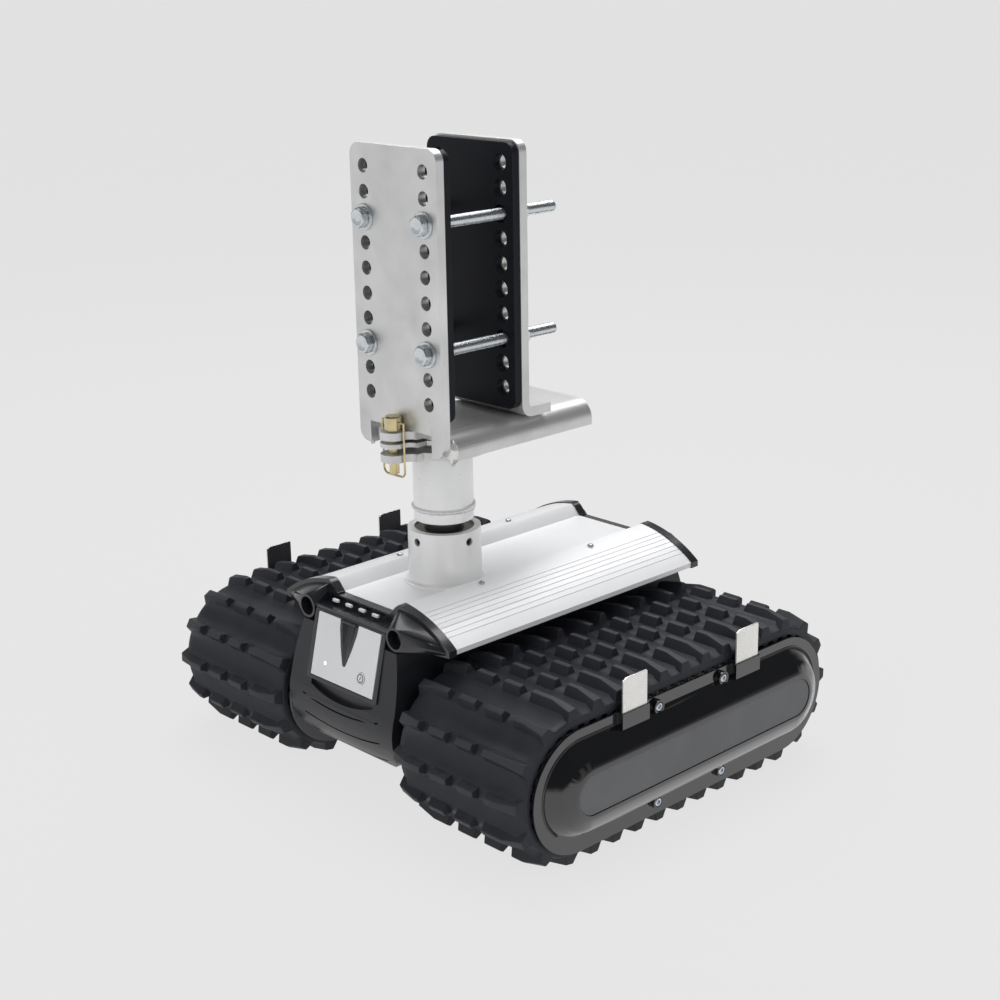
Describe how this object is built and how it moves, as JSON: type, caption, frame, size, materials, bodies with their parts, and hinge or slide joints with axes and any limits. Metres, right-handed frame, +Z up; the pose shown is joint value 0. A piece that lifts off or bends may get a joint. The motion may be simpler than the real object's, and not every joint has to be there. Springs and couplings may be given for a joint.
{
  "type": "motor mover",
  "caption": "Remote-driven tracked mover for caravans: two lugged rubber tracks, central hub and a swivelling drawbar clamp on a mast.",
  "frame": {"origin": "on the ground, midway between the tracks and midway between their wheels", "axes": "+X across the tracks to the right of the travel direction, +Y along the tracks away from the control panel, +Z up the mast"},
  "size_m": [0.579, 0.474, 0.654],
  "materials": {
    "deck_aluminium": "satin anodised",
    "tread_rubber": "moulded, matt",
    "cover_gloss": "glossy",
    "housing_black": "satin",
    "cap_black": "semi-gloss",
    "panel_grey": "satin",
    "scoop_grey": "semi-gloss",
    "lamp_clear": "clear",
    "button_grey": "satin",
    "battery_blue": "matt",
    "board_green": "solder mask",
    "motor_black": "painted",
    "gearbox_cast": "as cast",
    "screw_zinc": "bright zinc",
    "screw_dark": "black oxide",
    "collar_steel": "satin",
    "bush_bronze": "sintered bronze",
    "frame_grey": "painted",
    "rail_nylon": "matt",
    "shaft_steel": "ground",
    "pulley_black": "matt",
    "tab_nickel": "nickel plated",
    "neck_steel": "oiled",
    "mast_zinc": "zinc plated, satin",
    "clamp_zinc": "zinc plated, satin",
    "pad_rubber": "matt",
    "bolt_zinc": "bright zinc",
    "pin_yellow": "yellow zinc"
  },
  "bodies": {
    "chassis": {"main_housing": "housing_black", "top_cover": "deck_aluminium", "front_end_cap": "cap_black", "rear_end_cap": "cap_black", "control_panel": "panel_grey", "finger_scoop": "scoop_grey", "status_lamp": "lamp_clear", "battery_pack": "battery_blue", "controller_board": "board_green", "right_motor": "motor_black", "left_motor": "motor_black", "right_gearbox": "gearbox_cast", "left_gearbox": "gearbox_cast", "deck_screws": "screw_zinc", "cap_screws": "screw_dark", "frame_bolts": "screw_dark", "collar_socket": "collar_steel", "collar_screws": "screw_dark", "swivel_bush": "bush_bronze", "thrust_washer": "bush_bronze", "right_track_belt": "tread_rubber", "left_track_belt": "tread_rubber", "right_track_frame": "frame_grey", "left_track_frame": "frame_grey", "right_slider_rails": "rail_nylon", "left_slider_rails": "rail_nylon", "right_idler_axle": "shaft_steel", "left_idler_axle": "shaft_steel", "right_side_cover": "cover_gloss", "left_side_cover": "cover_gloss", "right_cover_screws": "screw_zinc", "left_cover_screws": "screw_zinc", "right_guide_tabs": "tab_nickel", "left_guide_tabs": "tab_nickel"},
    "mast": {"swivel_neck": "neck_steel", "mast_tube": "mast_zinc", "pivot_plate": "clamp_zinc", "pivot_spacer": "clamp_zinc", "king_bolt": "bolt_zinc", "base_channel": "clamp_zinc", "fixed_plate": "clamp_zinc", "fixed_pad": "pad_rubber", "clamp_bolts": "bolt_zinc", "bolt_washers": "bolt_zinc"},
    "jaw": {"jaw_plate": "clamp_zinc", "jaw_pad": "pad_rubber", "clamp_nuts": "bolt_zinc"},
    "pin": {"hitch_pin": "pin_yellow"},
    "ring": {"pin_ring": "pin_yellow"},
    "button": {"power_button": "button_grey"},
    "right_drive": {"right_drive_pulley": "pulley_black", "right_drive_shaft": "shaft_steel"},
    "left_drive": {"left_drive_pulley": "pulley_black", "left_drive_shaft": "shaft_steel"},
    "right_idler": {"right_idler_pulley": "pulley_black", "right_idler_bearings": "shaft_steel"},
    "left_idler": {"left_idler_pulley": "pulley_black", "left_idler_bearings": "shaft_steel"}
  },
  "joints": [
    {"name": "mast_swivel", "type": "hinge", "parent": "chassis", "child": "mast", "pos_m": [0, -0.0725, 0.2625], "axis": [0, 0, 1], "continuous": true},
    {"name": "jaw_slide", "type": "slide", "parent": "mast", "child": "jaw", "axis": [0, 1, 0], "range_m": [-0.081, 0.042]},
    {"name": "pin_lift", "type": "slide", "parent": "mast", "child": "pin", "axis": [0, 0, 1], "range_m": [0, 0.06]},
    {"name": "ring_swing", "type": "hinge", "parent": "pin", "child": "ring", "pos_m": [0, -0.137, 0.3853], "axis": [-1, 0, 0], "range_deg": [0, 170]},
    {"name": "button_press", "type": "slide", "parent": "chassis", "child": "button", "axis": [0, 0.9728, -0.2317], "range_m": [0, 0.0008], "stiffness_N_per_m": 600, "springref_m": -0.001},
    {"name": "right_drive_spin", "type": "hinge", "parent": "chassis", "child": "right_drive", "pos_m": [0.183, 0.15307, 0.08397], "axis": [1, 0, 0], "continuous": true, "deforming": ["right_track_belt"]},
    {"name": "left_drive_spin", "type": "hinge", "parent": "chassis", "child": "left_drive", "pos_m": [-0.183, 0.15307, 0.08397], "axis": [1, 0, 0], "continuous": true, "deforming": ["left_track_belt"]},
    {"name": "right_idler_spin", "type": "hinge", "parent": "chassis", "child": "right_idler", "pos_m": [0.183, -0.15307, 0.08397], "axis": [1, 0, 0], "continuous": true, "deforming": ["right_track_belt"]},
    {"name": "left_idler_spin", "type": "hinge", "parent": "chassis", "child": "left_idler", "pos_m": [-0.183, -0.15307, 0.08397], "axis": [1, 0, 0], "continuous": true, "deforming": ["left_track_belt"]}
  ],
  "couplings": [
    {"joint": "right_idler_spin", "follows": "right_drive_spin", "ratio": 1},
    {"joint": "left_idler_spin", "follows": "left_drive_spin", "ratio": 1},
    {"joint": "ring_swing", "follows": "pin_lift", "rad_per_m": 49}
  ]
}
